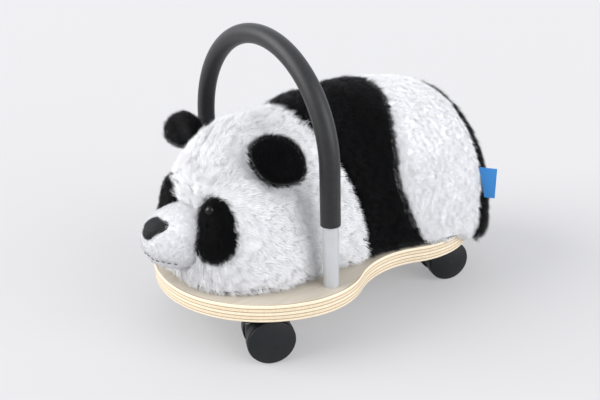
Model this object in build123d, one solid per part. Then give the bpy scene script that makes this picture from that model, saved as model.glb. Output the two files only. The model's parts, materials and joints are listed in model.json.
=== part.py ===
from build123d import *
from math import hypot, sqrt
import os

# A child's ride-on panda: a padded, furry panda body on a figure-of-eight plywood board,
# with a bent-tube hoop handle and four twin-wheel swivel casters.
#
# Working frame: the handle stands in the plane y = 0, the panda looks along -Y, its left side
# is +X, and the wheels stand on z = 0. On export every piece is moved along Y, so that the
# origin lies on the floor, midway between the muzzle and the rump.

# ---------------------------------------------------------------- board
BOARD_THICKNESS = 19.0
BOARD_EDGE_RADIUS = 2.0
BOARD_FRONT = -124.0            # front end, from the handle plane
BOARD_REAR = 274.0
LEG_TO_BOARD_EDGE = 17.0        # handle leg's centre line to the front lobe's widest point
FRONT_LOBE_WIDEST_Y = -6.0
FRONT_LOBE_SIDE_RADIUS = 84.0
REAR_LOBE_HALF_WIDTH = 120.5
REAR_LOBE_WIDEST_Y = 165.0
REAR_LOBE_SIDE_RADIUS = 100.0
WAIST_RADIUS = 95.0             # hollow curve between the two lobes

# ---------------------------------------------------------------- casters
WHEEL_DIAMETER = 50.0
WHEEL_WIDTH = 16.0
WHEEL_DOME_RISE = 4.0
WHEEL_TREAD_WIDTH = 10.0
WHEEL_TREAD_RISE = 0.6          # tread's rim above the dome's edge
WHEEL_EDGE_RADIUS = 1.2
WHEEL_RIM_WALL = 3.0
WHEEL_FACE_WALL = 2.5
WHEEL_HUB_RADIUS = 6.0
WHEEL_RIB_COUNT = 6
WHEEL_RIB_THICKNESS = 1.6
WHEEL_SIDE_GAP = 0.5            # between the hood and each wheel
WHEEL_HEADROOM = 4.0            # wheel to the plate above it
CASTER_TRAIL = 16.0             # swivel axis to wheel axle
HOOD_WIDTH = 15.0
HOOD_RADIUS = 23.0
HOOD_SKIRT = 7.5                # how far the fender comes down in front of and behind the axle
HOOD_WALL = 2.4
HOOD_WEB = 4.0
HOOD_HUB_RADIUS = 7.0
HOOD_BOSS_BOTTOM = 27.5
AXLE_DIAMETER = 6.0
AXLE_CHAMFER = 0.5
AXLE_GRIP = 11.0                # length of axle inside each wheel
RUNNING_CLEARANCE = 0.05        # radial, in every turning bore
PRESS_CLEARANCE = 0.02          # radial, where a pin is fixed
PLATE_SIDE = 38.0
PLATE_THICKNESS = 2.0
PLATE_CORNER_RADIUS = 5.0
PLATE_HOLE_PITCH = 28.0
KINGPIN_DIAMETER = 7.0
KINGPIN_HEAD_DIAMETER = 10.0
KINGPIN_HEAD_HEIGHT = 2.0
THRUST_WASHER_DIAMETER = 14.0
THRUST_WASHER_THICKNESS = 1.2
THRUST_GAP = 0.3
SCREW_DIAMETER = 3.5
SCREW_LENGTH = 14.0
SCREW_HEAD_DIAMETER = 7.0
SCREW_HEAD_HEIGHT = 2.0
SCREW_POINT_RADIUS = 0.3
SCREW_HOLE_EXTRA = 1.0          # depth of each screw's hole past its point
# swivel axes, in from the widest and the endmost points of each lobe
FRONT_CASTER_SIDE_INSET = 58.5
FRONT_CASTER_END_INSET = 54.0
REAR_CASTER_SIDE_INSET = 50.0
REAR_CASTER_END_INSET = 81.0
# how far each caster's trailing direction is turned from straight back, clockwise from above
CASTER_YAW = {"front_left": 23.5, "front_right": 19.0, "rear_left": 20.5, "rear_right": 25.0}

# ---------------------------------------------------------------- handle
TUBE_DIAMETER = 16.0
TUBE_WALL = 1.5
HOOP_RADIUS = 113.0             # centre line of the bend, and half the leg spacing
HOOP_CENTRE_HEIGHT = 122.0      # bend centre above the board
TUBE_SOCKET_DEPTH = 12.0
SOCKET_CLEARANCE = 0.15
GRIP_DIAMETER = 20.0
GRIP_END_HEIGHT = 66.0          # lower ends of the foam above the board
GRIP_CLEARANCE = 0.1
INSERT_LENGTH = 25.0
INSERT_THREAD_EXTRA = 2.0       # thread in the insert past the bolt's end
HANDLE_BOLT_DIAMETER = 8.0
HANDLE_BOLT_ENGAGEMENT = 16.0
HANDLE_BOLT_HEAD_DIAMETER = 14.0
HANDLE_BOLT_HEAD_HEIGHT = 4.4
HANDLE_WASHER_DIAMETER = 22.0
WASHER_THICKNESS = 1.6
BOLT_HOLE_CLEARANCE = 0.3

# ---------------------------------------------------------------- plush body
# half width and height above the board at stations along the body
BODY_STATIONS = [
    (-113.0, 30.0, 47.0),
    (-108.0, 45.0, 70.0),
    (-99.0, 61.0, 94.0),
    (-82.0, 76.0, 118.0),
    (-60.0, 88.0, 140.0),
    (-20.0, 94.0, 156.0),
    (30.0, 94.5, 163.0),
    (75.0, 98.0, 169.0),
    (120.0, 111.0, 173.0),
    (170.0, 126.0, 168.0),
    (215.0, 125.0, 160.0),
    (245.0, 111.0, 144.0),
    (268.0, 88.0, 116.0),
    (284.0, 61.0, 80.0),
    (293.0, 32.0, 42.0),
]
COVER_THICKNESS = 6.0           # backing and pile together
FABRIC_GAP = 0.3
BASE_PANEL_THICKNESS = 3.0
# seams as arcs seen from the side: (y, height) at the foot, part way up and over the back
NECK_SEAM = [(64.0, 0.0), (52.0, 92.0), (8.0, 185.0)]
RUMP_STRIPE_SEAM = [(139.0, 0.0), (117.0, 100.0), (160.0, 185.0)]
REAR_SEAM = [(204.0, 0.0), (236.0, 90.0), (217.0, 185.0)]
BODY_BOLT_X = 30.0
BODY_BOLT_Y = [-20.0, 140.0]
BODY_BOLT_DIAMETER = 6.0
BODY_BOLT_HEAD_DIAMETER = 11.0
BODY_BOLT_HEAD_HEIGHT = 3.3
BODY_WASHER_DIAMETER = 16.0
BODY_BOLT_TIP = 1.0              # thread standing out of the tee nut
TEE_NUT_FLANGE_DIAMETER = 19.0
TEE_NUT_FLANGE_THICKNESS = 1.4
TEE_NUT_BARREL_DIAMETER = 8.0
TEE_NUT_BARREL_LENGTH = 9.0

# ---------------------------------------------------------------- face
MUZZLE_HALF_WIDTH = 39.0
MUZZLE_FRONT = -144.5
MUZZLE_BOTTOM = 12.5            # above the board
MUZZLE_TOP = 80.0
MUZZLE_ROOT = -70.0              # where the muzzle's form ends, inside the head
MUZZLE_ROUNDING = 30.0
NOSE_WIDTH = 24.0
NOSE_HEIGHT = 18.0
NOSE_CENTRE_HEIGHT = 65.0
NOSE_THICKNESS = 3.0
NOSE_CORNER_RADIUS = 2.0
EYE_PATCH_CENTRE = (55.0, -92.0, 67.0)
EYE_PATCH_WIDTH = 40.0
EYE_PATCH_HEIGHT = 66.0
EYE_PATCH_THICKNESS = 3.0
EYE_BEAD_CENTRE = (43.0, -90.0, 84.0)
EYE_BEAD_DIAMETER = 10.0
EYE_BEAD_RISE = 4.0
EYE_STEM_DIAMETER = 4.0
EYE_WASHER_DIAMETER = 15.0
EYE_WASHER_THICKNESS = 1.5
EYE_WASHER_DEPTH = 12.5         # upper face of the washer, under the face's skin
EYE_STEM_TAIL = 1.0             # stem standing out behind the washer
FACE_NORMAL = (0.757, -0.537, 0.373)
EAR_CENTRE = (63.0, -43.0, 107.0)
EAR_TILT = 48.0                 # outward lean from upright, degrees
EAR_WIDTH = 54.0
EAR_HEIGHT = 49.0
EAR_THICKNESS = 13.0
TAG_HEIGHT = 36.0
TAG_REACH = 15.0
TAG_THICKNESS = 1.0
TAG_FOOT = (115.5, 226.0, 34.0)
TAG_TURN = 30.0                 # from straight out to the side, towards the rear, degrees

# ---------------------------------------------------------------- derived values
FAR = 600.0                     # reach of the blocks that cut pieces, past the whole toy
front_lobe_half_width = HOOP_RADIUS + LEG_TO_BOARD_EDGE
plate_bottom = WHEEL_DIAMETER + WHEEL_HEADROOM
plate_top = plate_bottom + PLATE_THICKNESS
board_bottom = plate_top
board_top = board_bottom + BOARD_THICKNESS
front_caster_x = front_lobe_half_width - FRONT_CASTER_SIDE_INSET
front_caster_y = BOARD_FRONT + FRONT_CASTER_END_INSET
rear_caster_x = REAR_LOBE_HALF_WIDTH - REAR_CASTER_SIDE_INSET
rear_caster_y = BOARD_REAR - REAR_CASTER_END_INSET
wheel_radius = WHEEL_DIAMETER / 2
wheel_inner_face = HOOD_WIDTH / 2 + WHEEL_SIDE_GAP
thrust_top = plate_bottom - THRUST_GAP
hood_top = thrust_top - THRUST_WASHER_THICKNESS
tube_radius = TUBE_DIAMETER / 2
tube_bore_radius = tube_radius - TUBE_WALL
tube_foot = board_top - TUBE_SOCKET_DEPTH
hoop_centre = board_top + HOOP_CENTRE_HEIGHT
body_front = BODY_STATIONS[0][0]
body_rear = BODY_STATIONS[-1][0]
toy_front = MUZZLE_FRONT - FABRIC_GAP - NOSE_THICKNESS
panel_top = board_top + BASE_PANEL_THICKNESS
tee_nut_top = panel_top + TEE_NUT_FLANGE_THICKNESS
eye_bead_foot = 2 * FABRIC_GAP + EYE_PATCH_THICKNESS
eye_stem_end = -EYE_WASHER_DEPTH - EYE_WASHER_THICKNESS - EYE_STEM_TAIL
origin_y = (toy_front + body_rear) / 2


def export(part, name):
    """Move a finished piece from the working frame to the part frame and write it."""
    moved = Pos(0, -origin_y, 0) * part
    moved.label = name
    export_step(moved, f"parts/{name}.step")


def cylinder_z(radius, bottom, top, x=0.0, y=0.0):
    """Upright cylinder between two heights."""
    return Pos(x, y, (bottom + top) / 2) * Cylinder(radius, top - bottom)


def cylinder_x(radius, low, high, y=0.0, z=0.0):
    """Cylinder along X between two places."""
    return Pos((low + high) / 2, y, z) * Rot(0, 90, 0) * Cylinder(radius, high - low)


# ================================================================ board
def lobe(end_y, half_width, widest_y, side_radius):
    """Side-arc centre x, and centre y and radius of the end arc that runs tangent into it."""
    centre_x = half_width - side_radius
    reach = abs(end_y - widest_y)
    end_radius = (centre_x**2 + reach**2 - side_radius**2) / (2 * (reach - side_radius))
    towards_middle = 1 if end_y < widest_y else -1
    return centre_x, end_y + towards_middle * end_radius, end_radius


def circle_point(centre, radius, towards):
    """Point of a circle in the direction of another point."""
    dx = towards[0] - centre[0]
    dy = towards[1] - centre[1]
    length = hypot(dx, dy)
    return (centre[0] + radius * dx / length, centre[1] + radius * dy / length)


def arc_middle(centre, radius, start, end):
    """Point of an arc halfway between its two ends, on the short way round."""
    chord = ((start[0] + end[0]) / 2, (start[1] + end[1]) / 2)
    return circle_point(centre, radius, chord)


def board_outline():
    """Figure-of-eight outline of eight tangent arcs, the same on both sides."""
    front_x, nose_y, nose_radius = lobe(
        BOARD_FRONT, front_lobe_half_width, FRONT_LOBE_WIDEST_Y, FRONT_LOBE_SIDE_RADIUS)
    rear_x, tail_y, tail_radius = lobe(
        BOARD_REAR, REAR_LOBE_HALF_WIDTH, REAR_LOBE_WIDEST_Y, REAR_LOBE_SIDE_RADIUS)
    front = (front_x, FRONT_LOBE_WIDEST_Y)
    rear = (rear_x, REAR_LOBE_WIDEST_Y)
    # the waist arc touches both side arcs from outside
    front_reach = FRONT_LOBE_SIDE_RADIUS + WAIST_RADIUS
    rear_reach = REAR_LOBE_SIDE_RADIUS + WAIST_RADIUS
    span = hypot(rear[0] - front[0], rear[1] - front[1])
    along = (front_reach**2 - rear_reach**2 + span**2) / (2 * span)
    across = sqrt(front_reach**2 - along**2)
    ux = (rear[0] - front[0]) / span
    uy = (rear[1] - front[1]) / span
    waist = (front[0] + ux * along + uy * across, front[1] + uy * along - ux * across)

    nose_tip = (0, BOARD_FRONT)
    tail_tip = (0, BOARD_REAR)
    nose_join = circle_point((0, nose_y), nose_radius, front)
    front_join = circle_point(front, FRONT_LOBE_SIDE_RADIUS, waist)
    rear_join = circle_point(rear, REAR_LOBE_SIDE_RADIUS, waist)
    tail_join = circle_point((0, tail_y), tail_radius, rear)
    side = [
        (nose_join, arc_middle(front, FRONT_LOBE_SIDE_RADIUS, nose_join, front_join), front_join),
        (front_join, arc_middle(waist, WAIST_RADIUS, front_join, rear_join), rear_join),
        (rear_join, arc_middle(rear, REAR_LOBE_SIDE_RADIUS, rear_join, tail_join), tail_join),
    ]
    edges = [ThreePointArc(*points) for points in side]
    edges += [ThreePointArc(*[(-x, y) for x, y in points]) for points in side]
    for join, tip in ((nose_join, nose_tip), (tail_join, tail_tip)):
        edges.append(ThreePointArc(join, tip, (-join[0], join[1])))
    return make_face(edges)


def caster_places():
    """Name, swivel axis and yaw of each caster."""
    spots = {
        "front_left": (front_caster_x, front_caster_y),
        "front_right": (-front_caster_x, front_caster_y),
        "rear_left": (rear_caster_x, rear_caster_y),
        "rear_right": (-rear_caster_x, rear_caster_y),
    }
    return [(name, x, y, CASTER_YAW[name]) for name, (x, y) in spots.items()]


def plate_screw_places():
    """Axis of every screw that holds a caster plate."""
    half = PLATE_HOLE_PITCH / 2
    return [(x + sx * half, y + sy * half)
            for _, x, y, _ in caster_places() for sx in (-1, 1) for sy in (-1, 1)]


def body_bolt_places():
    """Axis of every bolt that holds the plush body."""
    return [(side * BODY_BOLT_X, y) for y in BODY_BOLT_Y for side in (-1, 1)]


def base_board():
    """Plywood board with its holes for the handle, the body bolts and the caster screws."""
    board = Pos(0, 0, board_bottom) * extrude(board_outline(), BOARD_THICKNESS)
    rims = board.faces().filter_by(Plane.XY).edges()
    board = fillet(rims, BOARD_EDGE_RADIUS)
    for side in (-1, 1):
        x = side * HOOP_RADIUS
        board -= cylinder_z(tube_radius + SOCKET_CLEARANCE, tube_foot, board_top, x)
        board -= cylinder_z(HANDLE_BOLT_DIAMETER / 2 + BOLT_HOLE_CLEARANCE, board_bottom, tube_foot, x)
    for x, y in body_bolt_places():
        board -= cylinder_z(TEE_NUT_BARREL_DIAMETER / 2 + BOLT_HOLE_CLEARANCE,
                            board_bottom, board_top, x, y)
    for x, y in plate_screw_places():
        board -= cylinder_z(SCREW_DIAMETER / 2 + PRESS_CLEARANCE, board_bottom,
                            plate_bottom - SCREW_HEAD_HEIGHT + SCREW_LENGTH + SCREW_HOLE_EXTRA, x, y)
    return board


# ================================================================ handle
def hoop_path(foot):
    """Centre line of the hoop: up one leg, over the bend and down the other."""
    left_foot = (HOOP_RADIUS, 0, foot)
    left_top = (HOOP_RADIUS, 0, hoop_centre)
    crown = (0, 0, hoop_centre + HOOP_RADIUS)
    right_top = (-HOOP_RADIUS, 0, hoop_centre)
    right_foot = (-HOOP_RADIUS, 0, foot)
    return Wire([
        Edge.make_line(left_foot, left_top),
        Edge.make_three_point_arc(left_top, crown, right_top),
        Edge.make_line(right_top, right_foot),
    ])


def bent_sleeve(foot, outer, inner):
    """Round sleeve that follows the hoop from one foot height to the other."""
    section = Pos(HOOP_RADIUS, 0, foot) * (Circle(outer) - Circle(inner))
    return sweep(section, path=hoop_path(foot))


def handle_tube():
    return bent_sleeve(tube_foot, tube_radius, tube_bore_radius)


def handle_grip():
    return bent_sleeve(board_top + GRIP_END_HEIGHT, GRIP_DIAMETER / 2, tube_radius + GRIP_CLEARANCE)


def both_legs(piece):
    """The same piece under each leg of the handle."""
    return Compound(children=[Pos(side * HOOP_RADIUS, 0, 0) * piece for side in (-1, 1)])


def handle_inserts():
    """Threaded plugs fixed inside the lower ends of the tube."""
    plug = cylinder_z(tube_bore_radius - PRESS_CLEARANCE, tube_foot, tube_foot + INSERT_LENGTH)
    plug -= cylinder_z(HANDLE_BOLT_DIAMETER / 2 + PRESS_CLEARANCE, tube_foot,
                       tube_foot + HANDLE_BOLT_ENGAGEMENT + INSERT_THREAD_EXTRA)
    return both_legs(plug)


def washer(outer, bore, top):
    return cylinder_z(outer, top - WASHER_THICKNESS, top) - cylinder_z(bore, top - WASHER_THICKNESS, top)


def socket_bolt(diameter, head_diameter, head_height, head_top, tip):
    """Cap screw standing head down, with its hexagon socket."""
    bolt = cylinder_z(diameter / 2, head_top, tip)
    head = cylinder_z(head_diameter / 2, head_top - head_height, head_top)
    head = chamfer(head.edges().group_by(Axis.Z)[0], head_height * 0.3)
    socket = extrude(RegularPolygon(diameter * 0.35, 6), head_height * 0.6)
    return bolt + head - Pos(0, 0, head_top - head_height) * socket


def handle_washers():
    bore = HANDLE_BOLT_DIAMETER / 2 + BOLT_HOLE_CLEARANCE
    return both_legs(washer(HANDLE_WASHER_DIAMETER / 2, bore, board_bottom))


def handle_bolts():
    return both_legs(socket_bolt(HANDLE_BOLT_DIAMETER, HANDLE_BOLT_HEAD_DIAMETER, HANDLE_BOLT_HEAD_HEIGHT,
                                 board_bottom - WASHER_THICKNESS, tube_foot + HANDLE_BOLT_ENGAGEMENT))


# ================================================================ casters
def caster_plate():
    """Steel plate with four screw holes and a countersunk hole for the kingpin."""
    plate = Pos(0, 0, plate_bottom) * extrude(
        RectangleRounded(PLATE_SIDE, PLATE_SIDE, PLATE_CORNER_RADIUS), PLATE_THICKNESS)
    half = PLATE_HOLE_PITCH / 2
    for sx in (-1, 1):
        for sy in (-1, 1):
            plate -= cylinder_z(SCREW_DIAMETER / 2 + BOLT_HOLE_CLEARANCE, plate_bottom, plate_top,
                                sx * half, sy * half)
    return plate - countersink(PRESS_CLEARANCE)


def countersink(grow):
    """Flared head that fills the kingpin's hole in the plate."""
    shank = KINGPIN_DIAMETER / 2 + grow
    return Pos(0, 0, (plate_bottom + plate_top) / 2) * Cone(shank, shank + PLATE_THICKNESS, PLATE_THICKNESS)


def caster_kingpin():
    """Swivel pin, flared into the plate above and headed under the hood's boss."""
    pin = countersink(0)
    pin += cylinder_z(KINGPIN_DIAMETER / 2, HOOD_BOSS_BOTTOM - THRUST_GAP, plate_bottom)
    head_top = HOOD_BOSS_BOTTOM - THRUST_GAP
    return pin + cylinder_z(KINGPIN_HEAD_DIAMETER / 2, head_top - KINGPIN_HEAD_HEIGHT, head_top)


def caster_thrust_washer():
    """Flat ring that carries the plate on the turning hood."""
    ring = cylinder_z(THRUST_WASHER_DIAMETER / 2, hood_top, thrust_top)
    return ring - cylinder_z(KINGPIN_DIAMETER / 2 + RUNNING_CLEARANCE, hood_top, thrust_top)


def hood_slice(face, width):
    """Extrude a side-view face (drawn as y, z) evenly about the caster's middle plane."""
    return extrude(Plane.YZ * face, width / 2, both=True)


def caster_hood():
    """Moulded hood between the wheels: fender, web, axle hub and kingpin boss."""
    centre = Pos(CASTER_TRAIL, wheel_radius)
    skirt = HOOD_RADIUS + HOOD_SKIRT
    guard = Pos(CASTER_TRAIL, wheel_radius - HOOD_SKIRT + skirt / 2) * Rectangle(2 * HOOD_RADIUS, skirt)
    disc = (centre * Circle(HOOD_RADIUS)) & guard
    rim = disc - (centre * Circle(HOOD_RADIUS - HOOD_WALL))
    hood = hood_slice(disc, HOOD_WEB) + hood_slice(rim, HOOD_WIDTH)
    hood += cylinder_x(HOOD_HUB_RADIUS, -HOOD_WIDTH / 2, HOOD_WIDTH / 2, CASTER_TRAIL, wheel_radius)
    hood += cylinder_z(HOOD_WIDTH / 2, HOOD_BOSS_BOTTOM, hood_top)
    hood -= cylinder_x(AXLE_DIAMETER / 2 + PRESS_CLEARANCE, -HOOD_WIDTH, HOOD_WIDTH,
                       CASTER_TRAIL, wheel_radius)
    hood -= cylinder_z(KINGPIN_DIAMETER / 2 + RUNNING_CLEARANCE, HOOD_BOSS_BOTTOM, hood_top)
    # the pin's lower head turns below the boss
    hood -= cylinder_z(KINGPIN_HEAD_DIAMETER / 2 + THRUST_GAP, 0, HOOD_BOSS_BOTTOM)
    return hood


def caster_axle():
    half = wheel_inner_face + AXLE_GRIP
    axle = cylinder_x(AXLE_DIAMETER / 2, -half, half, CASTER_TRAIL, wheel_radius)
    return chamfer(axle.edges().filter_by(GeomType.CIRCLE), AXLE_CHAMFER)


def caster_wheel():
    """Domed wheel on the +X side of the hood: a raised tread, hollow behind, with ribs round its hub."""
    inner = wheel_inner_face
    outer = inner + WHEEL_WIDTH
    shoulder = outer - WHEEL_DOME_RISE
    tread_end = inner + WHEEL_TREAD_WIDTH
    flange = wheel_radius - WHEEL_TREAD_RISE
    dome_radius = (flange**2 + WHEEL_DOME_RISE**2) / (2 * WHEEL_DOME_RISE)
    # half section, drawn as (radius, distance along the axle)
    profile = make_face([
        Polyline((0, inner), (wheel_radius, inner), (wheel_radius, tread_end), (flange, tread_end),
                 (flange, shoulder)),
        RadiusArc((flange, shoulder), (0, outer), -dome_radius),
        Line((0, outer), (0, inner)),
    ])
    inner_corner = profile.vertices().sort_by_distance((wheel_radius, inner))[0]
    dome_corner = profile.vertices().sort_by_distance((flange, shoulder))[0]
    profile = fillet([inner_corner, dome_corner], WHEEL_EDGE_RADIUS)
    rim = wheel_radius - WHEEL_RIM_WALL
    floor = shoulder - WHEEL_FACE_WALL
    recess_width = rim - WHEEL_HUB_RADIUS
    recess_middle = (WHEEL_HUB_RADIUS + rim) / 2
    profile -= Pos(recess_middle, (inner + floor) / 2) * Rectangle(recess_width, floor - inner)
    bore_radius = AXLE_DIAMETER / 2 + RUNNING_CLEARANCE
    bore_depth = AXLE_GRIP + THRUST_GAP
    profile -= Pos(bore_radius / 2, inner + bore_depth / 2) * Rectangle(bore_radius, bore_depth)
    wheel = Rot(0, 0, -90) * revolve(profile, Axis.Y)
    # ribs stand back from the open side and run a little into the hub, the rim and the face
    bite = WHEEL_RIM_WALL / 2
    rib = Box(floor - inner, recess_width + 2 * bite, WHEEL_RIB_THICKNESS)
    rib = Pos((inner + floor) / 2 + bite, recess_middle, 0) * rib
    for index in range(WHEEL_RIB_COUNT):
        wheel += Rot(index * 360 / WHEEL_RIB_COUNT, 0, 0) * rib
    return Pos(0, CASTER_TRAIL, wheel_radius) * wheel


def plate_screw():
    """Pan-head screw standing head down under the plate."""
    head_bottom = plate_bottom - SCREW_HEAD_HEIGHT
    head = cylinder_z(SCREW_HEAD_DIAMETER / 2, head_bottom, plate_bottom)
    head = fillet(head.edges().group_by(Axis.Z)[0], SCREW_HEAD_HEIGHT * 0.6)
    point = SCREW_DIAMETER
    tip = head_bottom + SCREW_LENGTH
    shank = cylinder_z(SCREW_DIAMETER / 2, plate_bottom, tip - point)
    shank += Pos(0, 0, tip - point / 2) * Cone(SCREW_DIAMETER / 2, SCREW_POINT_RADIUS, point)
    return head + shank


def caster_screws():
    screw = plate_screw()
    return Compound(children=[Pos(x, y, 0) * screw for x, y in plate_screw_places()])


def export_casters():
    """Write the seven pieces of each caster, turned to its own yaw."""
    wheel = caster_wheel()
    other_wheel = Rot(0, 0, 180) * Pos(0, -2 * CASTER_TRAIL, 0) * wheel
    fixed = {"plate": caster_plate(), "kingpin": caster_kingpin()}
    turning = {
        "thrust_washer": caster_thrust_washer(),
        "hood": caster_hood(),
        "axle": caster_axle(),
    }
    for name, x, y, yaw in caster_places():
        place = Pos(x, y, 0)
        turned = place * Rot(0, 0, -yaw)
        for label, piece in fixed.items():
            export(place * piece, f"{name}_caster_{label}")
        for label, piece in turning.items():
            export(turned * piece, f"{name}_caster_{label}")
        left, right = turned * wheel, turned * other_wheel
        outer, inner = (left, right) if x > 0 else (right, left)
        export(outer, f"{name}_caster_outer_wheel")
        export(inner, f"{name}_caster_inner_wheel")


# ================================================================ plush body
def arch(y, half_width, height):
    """Half-ellipse section across the body, standing on the board."""
    section = Ellipse(half_width, height) & (Pos(0, height / 2) * Rectangle(2 * half_width, height))
    return Pos(0, y, board_top) * Rot(90, 0, 0) * section


def loaf(inset):
    """Closed form of the body, shrunk all round by an inset (grown by a negative one)."""
    middle = (body_front + body_rear) / 2
    squeeze = 1 - inset / ((body_rear - body_front) / 2)
    sections = [arch(middle + (y - middle) * squeeze, half_width - inset, height - inset)
                for y, half_width, height in BODY_STATIONS]
    return loft(sections)


def seam_zone(front_seam, rear_seam):
    """Block between two seams seen from the side, wide enough to hold the whole body."""

    def edge(seam, far_y, nudge):
        if seam is None:
            return [(far_y, -FAR), (far_y, FAR)], [Line((far_y, -FAR), (far_y, FAR))]
        foot, middle, head = [(y + nudge, z) for y, z in seam]
        low, high = (foot[0], -FAR), (head[0], FAR)
        return [low, high], [Line(low, foot), ThreePointArc(foot, middle, head), Line(head, high)]

    front_ends, front_lines = edge(front_seam, -FAR, FABRIC_GAP / 2)
    rear_ends, rear_lines = edge(rear_seam, FAR, -FABRIC_GAP / 2)
    across = [Line(front_end, rear_end) for front_end, rear_end in zip(front_ends, rear_ends)]
    face = Plane.YZ * make_face(front_lines + rear_lines + across)
    return Pos(0, 0, board_top) * extrude(face, FAR, both=True)


def at_face(point, side):
    """Plane at a point of the face, looking out along the face's normal."""
    x, y, z = point
    nx, ny, nz = FACE_NORMAL
    normal = Vector(side * nx, ny, nz)
    across = Vector(0, 0, 1).cross(normal)
    return Plane(origin=(side * x, y, board_top + z), x_dir=across, z_dir=normal)


def on_face(point, side, radius, low, high):
    """Cylinder standing square to the face, between two heights over a point of it."""
    return at_face(point, side) * Pos(0, 0, (low + high) / 2) * Cylinder(radius, high - low)


def below(height):
    """Everything under a level, wide enough for the whole toy."""
    return Pos(0, 0, height - FAR / 2) * Box(2 * FAR, 2 * FAR, FAR)


# ---------------------------------------------------------------- filling and fixings
def base_panel(filling):
    """Hardboard panel that closes the body underneath and takes its four tee nuts."""
    panel = filling & below(panel_top) & extrude(board_outline(), FAR)
    for x, y in body_bolt_places():
        panel -= cylinder_z(TEE_NUT_BARREL_DIAMETER / 2 + PRESS_CLEARANCE, board_top, panel_top, x, y)
    return panel


def seat_core(filling):
    """Foam filling, with pockets for the tee nuts and for the washers behind the eyes."""
    core = filling - below(panel_top)
    for x, y in body_bolt_places():
        core -= cylinder_z(TEE_NUT_FLANGE_DIAMETER / 2 + FABRIC_GAP, panel_top,
                           tee_nut_top + FABRIC_GAP, x, y)
        core -= cylinder_z(BODY_BOLT_DIAMETER / 2 + BOLT_HOLE_CLEARANCE, panel_top,
                           tee_nut_top + BODY_BOLT_TIP + FABRIC_GAP, x, y)
    for side in (-1, 1):
        core -= on_face(EYE_BEAD_CENTRE, side, EYE_WASHER_DIAMETER / 2 + FABRIC_GAP,
                        eye_stem_end - FABRIC_GAP, 0)
    return core


def at_body_bolts(piece):
    """The same piece at each bolt of the plush body."""
    return Compound(children=[Pos(x, y, 0) * piece for x, y in body_bolt_places()])


def body_tee_nuts():
    """Flanged nuts standing in the base panel, their barrels down in the board."""
    foot = panel_top - TEE_NUT_BARREL_LENGTH
    nut = cylinder_z(TEE_NUT_FLANGE_DIAMETER / 2, panel_top, tee_nut_top)
    nut += cylinder_z(TEE_NUT_BARREL_DIAMETER / 2, foot, panel_top)
    return at_body_bolts(nut - cylinder_z(BODY_BOLT_DIAMETER / 2 + PRESS_CLEARANCE, foot, tee_nut_top))


def body_washers():
    bore = BODY_BOLT_DIAMETER / 2 + BOLT_HOLE_CLEARANCE
    return at_body_bolts(washer(BODY_WASHER_DIAMETER / 2, bore, board_bottom))


def body_bolts():
    return at_body_bolts(socket_bolt(BODY_BOLT_DIAMETER, BODY_BOLT_HEAD_DIAMETER, BODY_BOLT_HEAD_HEIGHT,
                                     board_bottom - WASHER_THICKNESS, tee_nut_top + BODY_BOLT_TIP))


# ---------------------------------------------------------------- face
def eye_stem(side, grow):
    """Stem of an eye bead, right through the patch and the cover."""
    return on_face(EYE_BEAD_CENTRE, side, EYE_STEM_DIAMETER / 2 + grow, eye_stem_end,
                   eye_bead_foot + EYE_BEAD_RISE / 2)


def eye_bead(side, patch_outside):
    """Domed bead with its stem, seated on the patch."""
    radius = EYE_BEAD_DIAMETER / 2
    ball_radius = (radius**2 + EYE_BEAD_RISE**2) / (2 * EYE_BEAD_RISE)
    plane = at_face(EYE_BEAD_CENTRE, side)
    ball = plane * Pos(0, 0, eye_bead_foot + EYE_BEAD_RISE - ball_radius) * Sphere(ball_radius)
    dome = ball & on_face(EYE_BEAD_CENTRE, side, radius, 0, eye_bead_foot + EYE_BEAD_RISE)
    return (dome - patch_outside) + eye_stem(side, 0)


def eye_lock_washer(side):
    """Push-on washer that holds the stem behind the cover."""
    low = -EYE_WASHER_DEPTH - EYE_WASHER_THICKNESS
    ring = on_face(EYE_BEAD_CENTRE, side, EYE_WASHER_DIAMETER / 2, low, -EYE_WASHER_DEPTH)
    bore = EYE_STEM_DIAMETER / 2 + PRESS_CLEARANCE
    return ring - on_face(EYE_BEAD_CENTRE, side, bore, low, -EYE_WASHER_DEPTH)


def eye_patch(side, skin):
    """Oval of black pile sewn flat on the face, with the hole for its bead."""
    reach = EYE_PATCH_WIDTH / 2
    oval = extrude(Ellipse(EYE_PATCH_WIDTH / 2, EYE_PATCH_HEIGHT / 2), reach, both=True)
    return (skin & (at_face(EYE_PATCH_CENTRE, side) * oval)) - eye_stem(side, PRESS_CLEARANCE)


def ear(side, head):
    """Half-round padded ear, standing on the head."""
    pad = Ellipse(EAR_WIDTH / 2, EAR_HEIGHT) & (Pos(0, EAR_HEIGHT / 2) * Rectangle(EAR_WIDTH, EAR_HEIGHT))
    solid = extrude(pad, EAR_THICKNESS / 2, both=True)
    round_edges = solid.edges().filter_by(GeomType.LINE, reverse=True)
    solid = fillet(round_edges, EAR_THICKNESS * 0.4)
    x, y, z = EAR_CENTRE
    return Pos(side * x, y, board_top + z) * Rot(0, side * EAR_TILT, 0) * Rot(90, 0, 0) * solid - head


def muzzle_form(grow):
    """Rounded muzzle from its front back into the head, grown all round."""
    depth = MUZZLE_ROOT - MUZZLE_FRONT + grow
    height = MUZZLE_TOP - MUZZLE_BOTTOM + 2 * grow
    block = Box(2 * (MUZZLE_HALF_WIDTH + grow), depth, height)
    block = fillet(block.edges(), MUZZLE_ROUNDING + grow)
    return Pos(0, MUZZLE_ROOT - depth / 2, board_top + (MUZZLE_TOP + MUZZLE_BOTTOM) / 2) * block


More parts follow.
